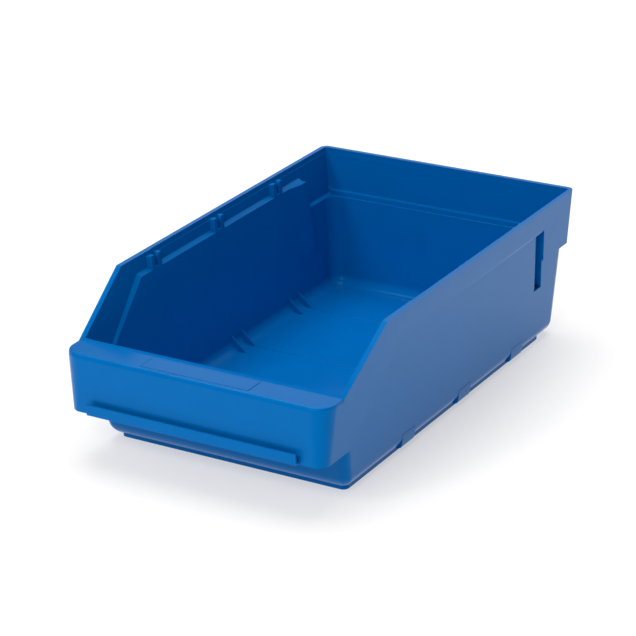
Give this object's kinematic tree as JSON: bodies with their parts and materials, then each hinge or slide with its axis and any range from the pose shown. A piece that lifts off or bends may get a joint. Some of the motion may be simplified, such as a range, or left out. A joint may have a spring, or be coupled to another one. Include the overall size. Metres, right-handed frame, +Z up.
{
  "type": "stackable storage bin",
  "caption": "Open rectangular storage bin with drafted walls, sloped sides and a deep overhanging front with a lip and a label rail.",
  "frame": {"origin": "middle of the box in X and Y, on the ground under the foot ring", "axes": "+X to the bin's right seen from its front, +Y from the open front to the back, +Z up"},
  "size_m": [0.18, 0.3, 0.0953],
  "materials": {
    "plastic": "satin moulded polypropylene"
  },
  "bodies": {
    "root": {"bin_shell": "plastic", "corner_rib_left_front_a": "plastic", "corner_rib_left_front_b": "plastic", "corner_rib_left_mid_a": "plastic", "corner_rib_left_mid_b": "plastic", "corner_rib_left_rear_a": "plastic", "corner_rib_left_rear_b": "plastic", "corner_rib_right_front_a": "plastic", "corner_rib_right_front_b": "plastic", "corner_rib_right_mid_a": "plastic", "corner_rib_right_mid_b": "plastic", "corner_rib_right_rear_a": "plastic", "corner_rib_right_rear_b": "plastic", "floor_ridge_front": "plastic", "floor_ridge_mid": "plastic", "floor_ridge_rear": "plastic", "foot_ring": "plastic", "guide_post_left_front": "plastic", "guide_post_left_mid": "plastic", "guide_post_left_rear": "plastic", "guide_post_right_front": "plastic", "guide_post_right_mid": "plastic", "guide_post_right_rear": "plastic", "label_rail": "plastic", "lip_plate": "plastic"}
  },
  "joints": []
}
